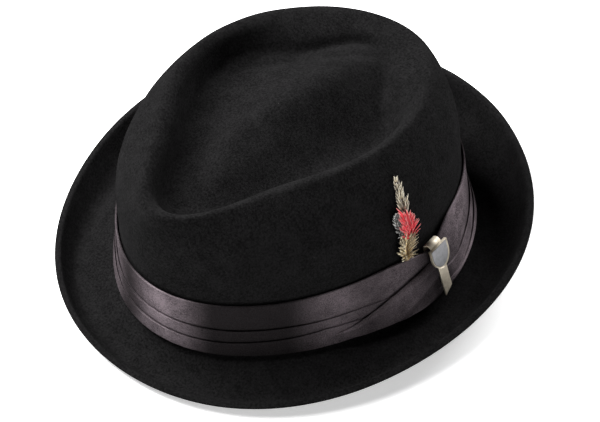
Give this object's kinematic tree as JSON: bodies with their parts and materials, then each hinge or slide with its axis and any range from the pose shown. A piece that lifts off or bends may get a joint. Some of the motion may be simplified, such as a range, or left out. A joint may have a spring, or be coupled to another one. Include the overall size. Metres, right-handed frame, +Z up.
{
  "type": "porkpie hat",
  "caption": "Felt hat with a diamond-shaped dished crown, short curled brim, pleated satin band, metal clip and small feather spray.",
  "frame": {"origin": "on the table, under the middle of the hat's overall length and width", "axes": "+Z up, the front of the hat faces -Y, the wearer's left side faces +X"},
  "size_m": [0.245, 0.2682, 0.1054],
  "materials": {
    "felt": "black wool felt with a short nap",
    "satin": "dark grey pleated satin ribbon",
    "clip_metal": "satin pale nickel",
    "inlay_metal": "brushed grey plate, bare",
    "feather_speckled": "cream feather barred with dark brown",
    "feather_white": "white feather tipped with black",
    "feather_gold": "golden straw feather",
    "feather_red": "red dyed feather"
  },
  "bodies": {
    "root": {"felt_body": "felt", "band": "satin", "band_sash": "satin", "band_tail": "satin", "clip": "clip_metal", "clip_inlay": "inlay_metal", "feather_speckled": "feather_speckled", "feather_white": "feather_white", "feather_gold": "feather_gold", "feather_red": "feather_red"}
  },
  "joints": []
}
